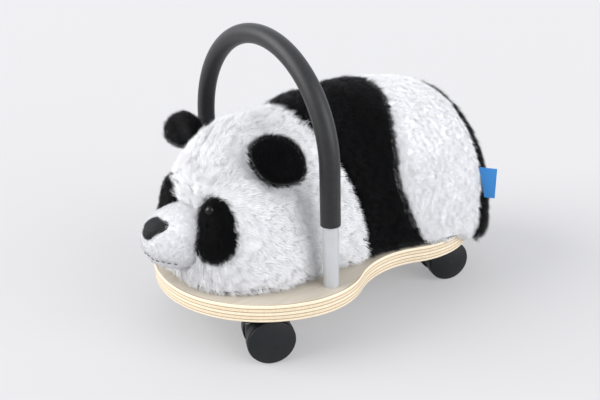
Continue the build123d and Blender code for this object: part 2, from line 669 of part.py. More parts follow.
def nose():
    """Rounded triangle of soft pile over the front of the muzzle."""
    top = NOSE_HEIGHT / 2
    half = NOSE_WIDTH / 2
    outline = make_face([
        Line((0, -top), (half, top * 0.3)),
        ThreePointArc((half, top * 0.3), (0, top), (-half, top * 0.3)),
        Line((-half, top * 0.3), (0, -top)),
    ])
    outline = fillet(outline.vertices(), NOSE_CORNER_RADIUS)
    prism = Plane.XZ * extrude(outline, -MUZZLE_FRONT + 4 * NOSE_THICKNESS)
    prism = Pos(0, 0, board_top + NOSE_CENTRE_HEIGHT) * prism
    pad = muzzle_form(FABRIC_GAP + NOSE_THICKNESS) - muzzle_form(FABRIC_GAP)
    return (pad & prism) - (Pos(0, MUZZLE_ROOT - MUZZLE_ROUNDING / 2, board_top) * Box(
        4 * MUZZLE_HALF_WIDTH, MUZZLE_ROUNDING, 4 * MUZZLE_TOP))


def seam_tag(outside):
    """Folded blue label standing out of the seam, with nothing printed on it."""
    length = TAG_REACH + COVER_THICKNESS
    label = Pos(TAG_REACH - length / 2, 0, 0) * Box(length, TAG_THICKNESS, TAG_HEIGHT)
    x, y, z = TAG_FOOT
    return Pos(x, y, board_top + z + TAG_HEIGHT / 2) * Rot(0, 0, TAG_TURN) * label - outside


# ================================================================ the whole toy
def export_handle():
    export(base_board(), "base_board")
    export(handle_tube(), "handle_tube")
    export(handle_grip(), "handle_grip")
    export(handle_inserts(), "handle_inserts")
    export(handle_washers(), "handle_washers")
    export(handle_bolts(), "handle_bolts")


def export_plush_body():
    outside = loaf(-FABRIC_GAP)
    patch_outside = loaf(-2 * FABRIC_GAP - EYE_PATCH_THICKNESS)
    cover = loaf(0) - loaf(COVER_THICKNESS)
    filling = loaf(COVER_THICKNESS + FABRIC_GAP)
    head_cover = cover & seam_zone(None, NECK_SEAM)
    skin = loaf(-FABRIC_GAP - EYE_PATCH_THICKNESS) - outside
    for label, side in (("left", 1), ("right", -1)):
        head_cover -= eye_stem(side, PRESS_CLEARANCE)
        export(eye_patch(side, skin), f"eye_patch_{label}")
        export(eye_bead(side, patch_outside), f"eye_bead_{label}")
        export(ear(side, outside), f"ear_{label}")
    export(head_cover, "head_cover")
    export(cover & seam_zone(NECK_SEAM, RUMP_STRIPE_SEAM), "shoulder_band")
    export(cover & seam_zone(RUMP_STRIPE_SEAM, REAR_SEAM), "rear_band")
    export(cover & seam_zone(REAR_SEAM, None), "rear_panel")
    export(base_panel(filling), "base_panel")
    export(seat_core(filling), "seat_core")
    export(body_tee_nuts(), "body_tee_nuts")
    export(body_washers(), "body_washers")
    export(body_bolts(), "body_bolts")
    export(muzzle_form(0) - outside, "muzzle")
    export(nose(), "nose")
    export(Compound(children=[eye_lock_washer(side) for side in (-1, 1)]), "eye_lock_washers")
    export(seam_tag(outside), "seam_tag")


os.makedirs("parts", exist_ok=True)
export_handle()
export_casters()
export(caster_screws(), "caster_screws")
export_plush_body()
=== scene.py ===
# %% [markdown]
# # A ride-on panda
# The toy is a padded, furry panda body on a figure-of-eight plywood board. A bent tube with a
# foam sleeve makes the handle, and four twin-wheel casters carry the board. The hard parts come
# ready from the measured model, so this lesson is about their finishes, and about the soft body:
# how to pad it, how to grow a pile on it, and how to sew its face.

# %% Load the measured parts
import json
import math
import bpy
import bmesh
from mathutils import Matrix, Vector, noise
from mathutils.bvhtree import BVHTree


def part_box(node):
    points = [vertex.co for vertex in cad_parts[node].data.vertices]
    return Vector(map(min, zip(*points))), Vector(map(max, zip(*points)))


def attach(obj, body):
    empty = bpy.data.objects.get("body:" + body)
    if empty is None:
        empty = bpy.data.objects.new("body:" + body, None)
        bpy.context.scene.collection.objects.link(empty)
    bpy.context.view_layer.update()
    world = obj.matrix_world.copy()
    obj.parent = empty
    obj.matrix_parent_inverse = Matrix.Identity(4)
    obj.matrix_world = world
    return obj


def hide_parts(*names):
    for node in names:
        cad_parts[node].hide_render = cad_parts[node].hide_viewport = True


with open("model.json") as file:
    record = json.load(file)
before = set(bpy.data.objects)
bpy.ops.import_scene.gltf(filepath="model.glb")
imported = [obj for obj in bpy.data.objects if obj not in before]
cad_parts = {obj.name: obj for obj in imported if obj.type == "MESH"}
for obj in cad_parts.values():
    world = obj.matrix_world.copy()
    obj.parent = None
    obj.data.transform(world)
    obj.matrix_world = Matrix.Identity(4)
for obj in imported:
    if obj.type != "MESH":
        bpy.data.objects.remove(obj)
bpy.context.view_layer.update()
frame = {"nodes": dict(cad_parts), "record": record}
nodes = frame["nodes"]
record_slots = {part["node"]: part["material_slot"] for part in frame["record"]["subparts"]}
MM = 0.001
BODY = "chassis"

# %% [markdown]
# ## Camera
# A camera is easiest to place in the words of someone who holds it: what it looks at, from which
# side, how high, how far, and how much it leans. Three turns in that order give its matrix.

# %% Camera
CAMERA_TARGET = Vector((0.0078, -0.0296, 0.1220))
CAMERA_AROUND = math.radians(53.18)
CAMERA_ABOVE = math.radians(22.57)
CAMERA_LEAN = math.radians(-1.83)
CAMERA_DISTANCE = 0.7585
CAMERA_LENS = 40.5
CAMERA_SENSOR = 36.0
CAMERA_REACH = 60.0

camera = bpy.data.objects.new("camera", bpy.data.cameras.new("camera"))
bpy.context.scene.collection.objects.link(camera)
turn = (Matrix.Rotation(CAMERA_AROUND, 4, "Z") @ Matrix.Rotation(math.pi / 2 - CAMERA_ABOVE, 4, "X")
        @ Matrix.Rotation(CAMERA_LEAN, 4, "Z"))
camera.matrix_world = Matrix.Translation(CAMERA_TARGET) @ turn @ Matrix.Translation((0, 0, CAMERA_DISTANCE))
camera.data.lens = CAMERA_LENS
camera.data.sensor_width = CAMERA_SENSOR
camera.data.clip_end = CAMERA_REACH
bpy.context.scene.camera = camera
print("camera at", [round(v, 3) for v in camera.matrix_world.translation])

# %% [markdown]
# ## Helpers for node trees
# Shader trees and geometry trees are built the same way: add a node, set its options, and give
# each input either a value or a link. One small function does that for both.


# %% Node helper
def add_node(tree, kind, inputs=None, **options):
    """Add a node, set its options, and fill its inputs with values or links."""
    node = tree.nodes.new(kind)
    for key, value in options.items():
        setattr(node, key, value)
    for key, value in (inputs or {}).items():
        if isinstance(value, bpy.types.NodeSocket):
            tree.links.new(value, node.inputs[key])
        else:
            node.inputs[key].default_value = value
    return node


def new_material(name, colour, roughness, **sockets):
    """A material whose shader has these constant values; it returns material, tree, shader."""
    material = bpy.data.materials.new(name)
    material.use_nodes = True
    material.diffuse_color = (*colour, 1.0)
    tree = material.node_tree
    shader = tree.nodes["Principled BSDF"]
    shader.inputs["Base Color"].default_value = (*colour, 1.0)
    shader.inputs["Roughness"].default_value = roughness
    for key, value in sockets.items():
        shader.inputs[key.replace("_", " ")].default_value = value
    return material, tree, shader


def object_noise(tree, scale, detail=3.0, stretch=(1.0, 1.0, 1.0)):
    """Noise that sticks to the object, stretched along its axes; scale is per metre."""
    place = add_node(tree, "ShaderNodeTexCoord")
    mapping = add_node(tree, "ShaderNodeMapping", {"Vector": place.outputs["Object"], "Scale": stretch})
    return add_node(tree, "ShaderNodeTexNoise",
                    {"Vector": mapping.outputs["Vector"], "Scale": scale, "Detail": detail})


def ramp(tree, factor, stops):
    """Colour ramp with (place, colour) stops."""
    node = add_node(tree, "ShaderNodeValToRGB", {"Fac": factor})
    elements = node.color_ramp.elements
    while len(elements) < len(stops):
        elements.new(0.5)
    for element, (place, colour) in zip(elements, stops):
        element.position = place
        element.color = (*colour, 1.0)
    return node


def bump(tree, shader, height, strength, distance):
    """Small relief from a height value."""
    node = add_node(tree, "ShaderNodeBump", {"Height": height, "Strength": strength, "Distance": distance})
    tree.links.new(node.outputs["Normal"], shader.inputs["Normal"])


# %% [markdown]
# ## Studio
# The toy stands on a pale floor that reaches past the frame, so no horizon shows. The floor looks
# evenly pale to the camera and to gloss, but still takes the toy's shadow: its own white is mixed
# with a little glow that only those rays see.

# %% Floor
FLOOR_REACH = 12.0
FLOOR_GLOW = 0.36
FLOOR_COLOUR = (0.475, 0.47, 0.475)
GLOW_COLOUR = (0.85, 0.85, 0.87, 1.0)
floor_mesh = bpy.data.meshes.new("studio_floor")
floor_mesh.from_pydata([(-FLOOR_REACH, -FLOOR_REACH, 0), (FLOOR_REACH, -FLOOR_REACH, 0),
                        (FLOOR_REACH, FLOOR_REACH, 0), (-FLOOR_REACH, FLOOR_REACH, 0)], [], [(0, 1, 2, 3)])
studio_floor = bpy.data.objects.new("studio_floor", floor_mesh)
bpy.context.scene.collection.objects.link(studio_floor)
floor_material, tree, shader = new_material("floor_paper", FLOOR_COLOUR, 0.9)
rays = add_node(tree, "ShaderNodeLightPath")
seen = add_node(tree, "ShaderNodeMath", {0: rays.outputs["Is Camera Ray"], 1: rays.outputs["Is Glossy Ray"]},
                operation="MAXIMUM")
share = add_node(tree, "ShaderNodeMath", {0: seen.outputs[0], 1: FLOOR_GLOW}, operation="MULTIPLY")
glow = add_node(tree, "ShaderNodeEmission", {"Color": GLOW_COLOUR, "Strength": 1.0})
paper = add_node(tree, "ShaderNodeMixShader", {0: share.outputs[0], 1: shader.outputs[0], 2: glow.outputs[0]})
tree.links.new(paper.outputs[0], tree.nodes["Material Output"].inputs["Surface"])
floor_mesh.materials.append(floor_material)


# %% [markdown]
# Big soft lamps give a studio picture its gentle shading. A sun lamp with a wide disc lights
# like a huge softbox far away: its shadows are soft, and the floor doesn't get darker with
# distance. The main one stands before the panda's face, a weak one overhead, and a third one
# lights the near side from the rear. The sky light does the rest.

# %% Lamps
def soft_lamp(name, direction, strength, spread, colour):
    """Wide sun lamp that shines from a direction; spread is its disc in degrees."""
    lamp = bpy.data.objects.new(name, bpy.data.lights.new(name, "SUN"))
    lamp.data.energy = strength
    lamp.data.angle = math.radians(spread)
    lamp.data.color = colour
    lamp.matrix_world = Vector(direction).to_track_quat("Z", "Y").to_matrix().to_4x4()
    bpy.context.scene.collection.objects.link(lamp)
    return lamp


soft_lamp("face_lamp", (-0.5, -0.9, 0.6), 3.5, 50.0, (1.0, 0.995, 0.98))
soft_lamp("top_lamp", (0.15, 0.1, 1.0), 0.1, 60.0, (1.0, 1.0, 1.0))
soft_lamp("near_lamp", (1.0, 0.35, 0.45), 2.35, 50.0, (0.97, 0.98, 1.0))

SKY_COLOUR = (0.94, 0.955, 1.0, 1.0)
SKY_STRENGTH = 0.97
world = bpy.data.worlds.new("studio_air")
world.use_nodes = True
sky = world.node_tree.nodes["Background"]
sky.inputs["Color"].default_value = SKY_COLOUR
sky.inputs["Strength"].default_value = SKY_STRENGTH
bpy.context.scene.world = world
bpy.context.scene.view_settings.view_transform = "Standard"

# %% [markdown]
# ## Plywood
# Birch plywood is a stack of thin sheets. Its faces show one pale, finely streaked sheet, and its
# edge shows all of them as stripes with dark glue lines between. The height above the floor picks
# the sheet, and the surface's normal tells a face from the edge.

# %% Plywood material
board_low, board_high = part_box("base_board")
PLY_COUNT = 5
PLY_WANDER = 1.2 * MM
GLUE_SHARE = 0.17
GLUE_COLOUR = (0.16, 0.09, 0.04, 1.0)


def plywood():
    material, tree, shader = new_material("birch_plywood", (0.72, 0.6, 0.43), 0.42, Coat_Weight=0.12,
                                          Coat_Roughness=0.3)
    thickness = board_high.z - board_low.z
    place = add_node(tree, "ShaderNodeTexCoord")
    split = add_node(tree, "ShaderNodeSeparateXYZ", {"Vector": place.outputs["Object"]})
    wander = object_noise(tree, 14.0, 2.0)
    wobble = add_node(tree, "ShaderNodeMath", {0: wander.outputs["Fac"], 1: PLY_WANDER, 2: -PLY_WANDER / 2},
                      operation="MULTIPLY_ADD")
    height = add_node(tree, "ShaderNodeMath", {0: split.outputs["Z"], 1: wobble.outputs[0]}, operation="ADD")
    sheets = add_node(tree, "ShaderNodeMapRange", {
        "Value": height.outputs[0], "From Min": board_low.z, "From Max": board_low.z + thickness,
        "To Min": 0.0, "To Max": PLY_COUNT})
    within = add_node(tree, "ShaderNodeMath", {0: sheets.outputs[0]}, operation="FRACT")
    pair = add_node(tree, "ShaderNodeMath", {0: sheets.outputs[0], 1: 2.0}, operation="MODULO")
    odd = add_node(tree, "ShaderNodeMath", {0: pair.outputs[0], 1: 1.0}, operation="GREATER_THAN")
    fibres = object_noise(tree, 900.0, 2.0, (1.0, 1.0, 0.25))
    end_grain = ramp(tree, fibres.outputs["Fac"], [(0.3, (0.62, 0.50, 0.34)), (0.7, (0.72, 0.61, 0.44))])
    long_grain = ramp(tree, fibres.outputs["Fac"], [(0.3, (0.68, 0.58, 0.42)), (0.7, (0.77, 0.67, 0.51))])
    sheet_colour = add_node(tree, "ShaderNodeMix", {0: odd.outputs[0], 6: long_grain.outputs["Color"],
                                                    7: end_grain.outputs["Color"]}, data_type="RGBA")
    glue, wood = (0.0, 0.0, 0.0), (1.0, 1.0, 1.0)
    line = ramp(tree, within.outputs[0], [(0.0, glue), (GLUE_SHARE, wood), (1 - GLUE_SHARE, wood),
                                          (1.0, glue)])
    edge_colour = add_node(tree, "ShaderNodeMix", {0: line.outputs["Color"], 6: GLUE_COLOUR,
                                                   7: sheet_colour.outputs[2]}, data_type="RGBA")
    streaks = object_noise(tree, 60.0, 6.0, (9.0, 0.5, 1.0))
    figure = object_noise(tree, 7.0, 2.0, (2.0, 0.5, 1.0))
    grain = add_node(tree, "ShaderNodeMath", {0: streaks.outputs["Fac"], 1: figure.outputs["Fac"]},
                     operation="ADD")
    half = add_node(tree, "ShaderNodeMath", {0: grain.outputs[0], 1: 0.5}, operation="MULTIPLY")
    face_colour = ramp(tree, half.outputs[0], [(0.32, (0.36, 0.315, 0.25)), (0.5, (0.435, 0.39, 0.32)),
                                               (0.68, (0.49, 0.445, 0.375))])
    facing = add_node(tree, "ShaderNodeSeparateXYZ", {"Vector": place.outputs["Normal"]})
    flat = add_node(tree, "ShaderNodeMath", {0: facing.outputs["Z"]}, operation="ABSOLUTE")
    is_face = add_node(tree, "ShaderNodeMapRange", {"Value": flat.outputs[0], "From Min": 0.93,
                                                    "From Max": 0.98})
    colour = add_node(tree, "ShaderNodeMix", {0: is_face.outputs[0], 6: edge_colour.outputs[2],
                                              7: face_colour.outputs["Color"]}, data_type="RGBA")
    tree.links.new(colour.outputs[2], shader.inputs["Base Color"])
    bump(tree, shader, streaks.outputs["Fac"], 0.12, 0.0004)
    return material


# %% [markdown]
# ## Tube, foam and moulded plastic
# These surfaces are plain to look at, and it's the fine relief that makes them believable: the
# tube's powder coat has a slight orange peel, the foam sleeve has tiny closed cells, and the wheels
# have a fine moulded grain.


# %% Hard materials
def satin_tube():
    material, tree, shader = new_material("satin_tube", (0.72, 0.73, 0.73), 0.36, Metallic=0.35)
    peel = object_noise(tree, 1400.0, 2.0)
    shade = ramp(tree, object_noise(tree, 40.0).outputs["Fac"],
                 [(0.3, (0.46, 0.47, 0.48)), (0.7, (0.51, 0.52, 0.53))])
    tree.links.new(shade.outputs["Color"], shader.inputs["Base Color"])
    bump(tree, shader, peel.outputs["Fac"], 0.10, 0.0003)
    return material


def foam_grip():
    material, tree, shader = new_material("foam_grip", (0.008, 0.008, 0.009), 0.45, Sheen_Weight=0.10,
                                          Sheen_Roughness=0.5, Specular_IOR_Level=0.35)
    cells = add_node(tree, "ShaderNodeTexVoronoi", {"Scale": 1500.0})
    place = add_node(tree, "ShaderNodeTexCoord")
    tree.links.new(place.outputs["Object"], cells.inputs["Vector"])
    shade = ramp(tree, object_noise(tree, 220.0).outputs["Fac"],
                 [(0.3, (0.006, 0.006, 0.007)), (0.7, (0.011, 0.011, 0.013))])
    tree.links.new(shade.outputs["Color"], shader.inputs["Base Color"])
    bump(tree, shader, cells.outputs["Distance"], 0.18, 0.0003)
    return material


def moulded(name, colour, roughness):
    """Moulded plastic with a fine even grain."""
    material, tree, shader = new_material(name, colour, roughness, Specular_IOR_Level=0.3)
    grain = object_noise(tree, 2500.0, 2.0)
    low = tuple(0.85 * v for v in colour)
    high = tuple(1.2 * v for v in colour)
    shade = ramp(tree, object_noise(tree, 120.0).outputs["Fac"], [(0.3, low), (0.7, high)])
    tree.links.new(shade.outputs["Color"], shader.inputs["Base Color"])
    bump(tree, shader, grain.outputs["Fac"], 0.12, 0.0002)
    return material


def zinc_steel():
    """Bright zinc plate: a metal with small changes of shade and gloss."""
    material, tree, shader = new_material("zinc_steel", (0.60, 0.60, 0.58), 0.3, Metallic=1.0)
    cloud = object_noise(tree, 300.0, 4.0)
    shade = ramp(tree, cloud.outputs["Fac"], [(0.3, (0.50, 0.50, 0.49)), (0.7, (0.68, 0.68, 0.66))])
    gloss = add_node(tree, "ShaderNodeMapRange", {"Value": cloud.outputs["Fac"], "To Min": 0.22,
                                                  "To Max": 0.42})
    tree.links.new(shade.outputs["Color"], shader.inputs["Base Color"])
    tree.links.new(gloss.outputs[0], shader.inputs["Roughness"])
    return material


def bead_black():
    """Polished black bead, with the faintest unevenness of a moulding."""
    material, tree, shader = new_material("black_bead", (0.003, 0.003, 0.003), 0.10,
                                          Specular_IOR_Level=0.25)
    bump(tree, shader, object_noise(tree, 90.0, 1.0).outputs["Fac"], 0.05, 0.0003)
    return material


# %% [markdown]
# ## Cloth and pile
# Pile is shaded along each hair with painted shade: the root's colour is darker, for the shadow it
# sits in, and the tip keeps the colour of a hair that catches the light. Each lock also has its own
# tone, a random number that its geometry carries as the attribute shade, so that the coat never
# looks like one flat colour. A real coat scatters light softly, as if it were one surface, so each
# hair also carries the normal of the skin under it, and that counts for almost half of its shading.


# %% Pile and cloth materials
COAT_SOFTNESS = 0.45


def pile(name, root, tip, roughness, sheen, gloss=0.5):
    """Fur fibre, from a darker root colour (painted shade) to the tip colour, varied from lock to lock."""
    material, tree, shader = new_material(name, tip, roughness, Sheen_Weight=sheen, Sheen_Roughness=0.4,
                                          Specular_IOR_Level=gloss)
    along = add_node(tree, "ShaderNodeAttribute", attribute_name="along")
    shade = add_node(tree, "ShaderNodeAttribute", attribute_name="shade")
    # The ramp runs from the root's painted shade to the tip colour.
    fibre = ramp(tree, along.outputs["Fac"], [(0.0, root), (0.6, tip)])
    light = add_node(tree, "ShaderNodeMapRange", {"Value": shade.outputs["Fac"], "To Min": 0.86,
                                                  "To Max": 1.0})
    colour = add_node(tree, "ShaderNodeMix", {0: 1.0, 6: fibre.outputs["Color"], 7: light.outputs[0]},
                      data_type="RGBA", blend_type="MULTIPLY")
    tree.links.new(colour.outputs[2], shader.inputs["Base Color"])
    under = add_node(tree, "ShaderNodeAttribute", attribute_name="skin_normal")
    own = add_node(tree, "ShaderNodeNewGeometry")
    mostly = add_node(tree, "ShaderNodeVectorMath", {0: under.outputs["Vector"], "Scale": COAT_SOFTNESS},
                      operation="SCALE")
    partly = add_node(tree, "ShaderNodeVectorMath", {0: own.outputs["Normal"], "Scale": 1 - COAT_SOFTNESS},
                      operation="SCALE")
    both = add_node(tree, "ShaderNodeVectorMath", {0: mostly.outputs[0], 1: partly.outputs[0]},
                    operation="ADD")
    normal = add_node(tree, "ShaderNodeVectorMath", {0: both.outputs[0]}, operation="NORMALIZE")
    tree.links.new(normal.outputs[0], shader.inputs["Normal"])
    return material


def backing(name, low, high):
    """Knitted backing cloth under the pile, with a fine knit relief."""
    material, tree, shader = new_material(name, high, 0.95, Sheen_Weight=0.2)
    knit = object_noise(tree, 900.0, 2.0, (1.0, 1.0, 0.5))
    shade = ramp(tree, knit.outputs["Fac"], [(0.3, low), (0.7, high)])
    tree.links.new(shade.outputs["Color"], shader.inputs["Base Color"])
    bump(tree, shader, knit.outputs["Fac"], 0.4, 0.0006)
    return material


def woven_ribbon():
    """Blue satin ribbon: fine crossing threads."""
    material, tree, shader = new_material("blue_ribbon", (0.02, 0.21, 0.56), 0.5, Sheen_Weight=0.2)
    place = add_node(tree, "ShaderNodeTexCoord")
    weft = add_node(tree, "ShaderNodeTexWave", {"Vector": place.outputs["Object"], "Scale": 700.0},
                    bands_direction="Z")
    shade = ramp(tree, weft.outputs["Fac"], [(0.2, (0.015, 0.17, 0.48)), (0.8, (0.03, 0.25, 0.62))])
    tree.links.new(shade.outputs["Color"], shader.inputs["Base Color"])
    bump(tree, shader, weft.outputs["Fac"], 0.3, 0.0002)
    return material


# Each pile's root colour, here and in the finishes below, is darker than its tip: painted shade at the roots.
WHITE_TIP = (0.975, 0.975, 0.985)
WHITE_ROOT_SHADE = (0.93, 0.93, 0.95)
BLACK_TIP = (0.004, 0.004, 0.005)
BLACK_ROOT_SHADE = (0.001, 0.001, 0.001)

finishes = {
    "birch_plywood": plywood(),
    "satin_tube": satin_tube(),
    "foam_grip": foam_grip(),
    "black_nylon": moulded("black_nylon", (0.012, 0.012, 0.012), 0.5),
    "wheel_nylon": moulded("wheel_nylon", (0.006, 0.0065, 0.008), 0.42),
    "zinc_steel": zinc_steel(),
    "black_steel": moulded("black_steel", (0.016, 0.016, 0.018), 0.35),
    "white_fur": pile("white_fur", WHITE_ROOT_SHADE, WHITE_TIP, 0.85, 0.25),
    "black_fur": pile("black_fur", BLACK_ROOT_SHADE, BLACK_TIP, 0.6, 0.14, 0.05),
    "white_short_pile": pile("white_short_pile", (0.68, 0.68, 0.70), (0.78, 0.78, 0.80), 0.9, 0.3),
    "black_short_pile": pile("black_short_pile", (0.008, 0.008, 0.009), (0.022, 0.023, 0.025), 0.7, 0.12,
                             0.3),
    "black_bead": bead_black(),
    "blue_ribbon": woven_ribbon(),
    "filling": backing("filling", (0.66, 0.66, 0.60), (0.80, 0.80, 0.76)),
    "base_fabric": backing("base_fabric", (0.012, 0.011, 0.011), (0.03, 0.028, 0.026)),
}
print("finishes:", len(finishes))

# %% [markdown]
# The measured parts keep their shapes and only take their finish. Each one names its slot in the
# record, and the slot names the material.

# %% Finish the measured parts
for name, part in nodes.items():
    part.data.materials.clear()
    part.data.materials.append(finishes[record_slots[name]])

# %% [markdown]
# ## Padded covers
# A sewn cover is pressed out from inside by its filling, so it swells between its seams. To get
# that, a copy of each plain cover is remeshed into even squares and blown up a little as cloth,
# and no point is allowed to move further than a few millimetres. Left alone, the pressure would
# move them further: over half of the covers' points reach that limit, and almost all of the
# filling's do, as the prints show. So the limit decides how far a cover swells, as much as the cloth.
# The pile needs room too, so the cloth starts under the measured surface. Remeshing rounds a
# cover's rims, which would leave an open groove at each seam, so the sides that meet there are first
# pushed towards each other.

# %% Padding helper
PILE_ROOM = 5.0 * MM
SEAM_MEETING = 3.0 * MM
COVER_SWELL = 3.0 * MM
VOXEL = 4.0 * MM
LOOSE_JOIN = 0.02 * MM
CLOTH_FRAMES = 20
CLOTH_PRESSURE = 4.0
core_low, core_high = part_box("seat_core")


def smooth_step(value, low, high):
    """0 at low, 1 at high, with soft ends; low may be the larger number."""
    t = min(max((value - low) / (high - low), 0.0), 1.0)
    return t * t * (3 - 2 * t)


def new_object(name, mesh):
    thing = bpy.data.objects.new(name, mesh)
    bpy.context.scene.collection.objects.link(thing)
    return thing


def outward(point):
    """Direction away from the long middle line of the body."""
    reach = core_high.x
    y = min(max(point.y, core_low.y + reach), core_high.y - reach)
    return (point - Vector((0, y, board_high.z))).normalized()


def apply_modifiers(thing):
    """Make the evaluated shape the object's own mesh, with no modifier left."""
    shaped = bpy.data.meshes.new_from_object(thing.evaluated_get(bpy.context.evaluated_depsgraph_get()))
    old = thing.data
    thing.modifiers.clear()
    thing.data = shaped
    bpy.data.meshes.remove(old)


def merged_copy(node, name):
    """Copy of a measured part with its loose triangles joined."""
    mesh = nodes[node].data.copy()
    shape = bmesh.new()
    shape.from_mesh(mesh)
    bmesh.ops.remove_doubles(shape, verts=shape.verts, dist=LOOSE_JOIN)
    shape.to_mesh(mesh)
    shape.free()
    return new_object(name, mesh)


def swell(thing, cap):
    """Blow the object up as cloth, with every point's travel capped."""
    before = [v.co.copy() for v in thing.data.vertices]
    cloth = thing.modifiers.new("air", "CLOTH")
    cloth.settings.use_pressure = True
    cloth.settings.uniform_pressure_force = CLOTH_PRESSURE
    cloth.settings.effector_weights.gravity = 0.0
    cloth.settings.quality = 4
    cloth.collision_settings.use_collision = False
    cloth.point_cache.frame_start = 1
    cloth.point_cache.frame_end = CLOTH_FRAMES
    for step in range(1, CLOTH_FRAMES + 1):
        bpy.context.scene.frame_set(step)
    apply_modifiers(thing)
    bpy.context.scene.frame_set(1)
    travels = [vertex.co - start for vertex, start in zip(thing.data.vertices, before)]
    for vertex, start, travel in zip(thing.data.vertices, before, travels):
        if travel.length > cap:
            vertex.co = start + travel.normalized() * cap
    capped = sum(travel.length > cap for travel in travels)
    furthest = max(travel.length for travel in travels)
    print(thing.name, "points:", len(travels), "capped:", capped, "furthest mm:", round(furthest / MM, 1))


def padded_cover(node, name, sink, voxel=VOXEL, cap=COVER_SWELL, seams=()):
    """Swollen copy of a plain soft part, sunk by the pile's room but pushed out at its seams.

    A seam is -1 for the part's front side and 1 for its rear side.
    """
    cover = merged_copy(node, name)
    remesh = cover.modifiers.new("even", "REMESH")
    remesh.mode = "VOXEL"
    remesh.voxel_size = voxel
    apply_modifiers(cover)
    if sink:
        for vertex in cover.data.vertices:
            vertex.co -= outward(vertex.co) * sink
    for seam in seams:
        for vertex in cover.data.vertices:
            vertex.co.y += seam * SEAM_MEETING * smooth_step(seam * vertex.normal.y, 0.5, 0.8)
    swell(cover, cap)
    smooth = cover.modifiers.new("soften", "SMOOTH")
    smooth.factor = 0.5
    smooth.iterations = 3
    apply_modifiers(cover)
    cover.data.shade_smooth()
    return cover


# %% [markdown]
# Sewn pieces are placed by where they sit on the toy: so far left of its middle, behind its handle
# and above its board. Most shaping fades in softly between two such places.

# %% Places on the body
HANDLE_Y = (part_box("handle_tube")[0].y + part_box("handle_tube")[1].y) / 2
BOARD_TOP = board_high.z


def place(x, y, z):
    """Point in mm: left of the middle, behind the handle, above the board."""
    return Vector((x * MM, HANDLE_Y + y * MM, BOARD_TOP + z * MM))


# %% [markdown]
# ## Shaping the skins
# Two soft shapes come from how the cover is sewn. The face is flat between the eyes, because the
# forehead's panel is pulled back there, while the chin stays full. And at the rear the body is
# wider than the board, so the plush hangs a little way down past the board's edge.

# %% Shaping helpers
FACE_PLANE = place(0, -86, 0).y
FACE_KEEP = 0.25
CHIN_HEIGHT, FOREHEAD_HEIGHT = 32, 74  # mm above the board
REAR_DROOP = 14.0 * MM
DROOP_START, DROOP_FULL = place(0, 170, 0).y, place(0, 215, 0).y
HANGING_BELOW, STANDING_ABOVE = 8, 55  # mm above the board
board_tree = BVHTree.FromPolygons([v.co for v in nodes["base_board"].data.vertices],
                                  [tuple(p.vertices) for p in nodes["base_board"].data.polygons])


def flatten_face(skin):
    """Press in what stands before the eyes, more so higher up."""
    for vertex in skin.data.vertices:
        ahead = FACE_PLANE - vertex.co.y
        if ahead > 0:
            height = (vertex.co.z - BOARD_TOP) / MM
            keep = 1 - (1 - FACE_KEEP) * smooth_step(height, CHIN_HEIGHT, FOREHEAD_HEIGHT)
            vertex.co.y = FACE_PLANE - ahead * keep


def droop(skin):
    """Let the rear hang past the board, but only where the board isn't under it."""
    for vertex in skin.data.vertices:
        over_board = board_tree.ray_cast(Vector((vertex.co.x, vertex.co.y, 1.0)), Vector((0, 0, -1)))[0]
        height = (vertex.co.z - BOARD_TOP) / MM
        rearward = smooth_step(vertex.co.y, DROOP_START, DROOP_FULL)
        if not over_board:
            low_down = 1 - smooth_step(height, HANGING_BELOW, STANDING_ABOVE)
            vertex.co.z -= REAR_DROOP * rearward * low_down


# %% Covers
covers = {}
for node, name, seams in (("head_cover", "head_skin", (1,)), ("shoulder_band", "shoulder_skin", (-1, 1)),
                          ("rear_band", "rear_band_skin", (-1, 1)),
                          ("rear_panel", "rear_panel_skin", (-1,))):
    covers[node] = padded_cover(node, name, PILE_ROOM, seams=seams)
    print(name, "faces:", len(covers[node].data.polygons))
flatten_face(covers["head_cover"])
droop(covers["rear_band"])
droop(covers["rear_panel"])

# %% [markdown]
# ## A lock of hair
# Growing single hairs over the whole body would take millions of them. Real pile clumps anyway, so
# the unit here is a lock: a few thin hairs that start apart, bend over together and lean towards
# one side. A hair is a closed spindle of six faces, with its bend at the thickest place. A hundred
# kinds aren't needed. Four different locks, turned and scaled at random, already hide the repeat.

# %% Build the locks
HAIRS_PER_LOCK = 9
HAIR_FACES = 6
LOCK_KINDS = 4
LOCK_SPREAD = 0.34
HAIR_THICKNESS = 0.017


def lock_mesh(name):
    """One lock of unit length that stands on the origin and bends over towards +X."""
    vertices, faces, along = [], [], []
    for hair in range(HAIRS_PER_LOCK):
        chance = [noise.random() for _ in range(6)]
        around = math.tau * (hair + chance[0]) / HAIRS_PER_LOCK
        spread = LOCK_SPREAD * math.sqrt(0.1 + 0.9 * chance[1])
        foot = Vector((math.cos(around) * spread, math.sin(around) * spread, 0))
        length = 0.7 + 0.4 * chance[2]
        lean = 0.5 + 0.5 * chance[3]
        side = 0.35 * (chance[4] - 0.5)
        thick = HAIR_THICKNESS * (0.8 + 0.5 * chance[5])
        middle = foot * 0.85 + Vector((lean * 0.3, side * 0.4, 0.42)) * length
        tip = foot * 0.6 + Vector((lean, side, 0.62)) * length
        first = len(vertices)
        vertices.append(foot)
        for corner in range(3):
            angle = around + math.tau * corner / 3
            vertices.append(middle + Vector((math.cos(angle), math.sin(angle), 0)) * thick)
        vertices.append(tip)
        along += [0.0, 0.5, 0.5, 0.5, 1.0]
        for corner in range(3):
            here, after = first + 1 + corner, first + 1 + (corner + 1) % 3
            faces.append((first, after, here))
            faces.append((here, after, first + 4))
    mesh = bpy.data.meshes.new(name)
    mesh.from_pydata(vertices, [], faces)
    mesh.attributes.new("along", "FLOAT", "POINT").data.foreach_set("value", along)
    mesh.shade_smooth()
    return mesh


noise.seed_set(7)
lock_store = bpy.data.collections.new("lock_store")
for kind in range(LOCK_KINDS):
    lock = bpy.data.objects.new(f"lock_{kind}", lock_mesh(f"lock_{kind}"))
    lock_store.objects.link(lock)


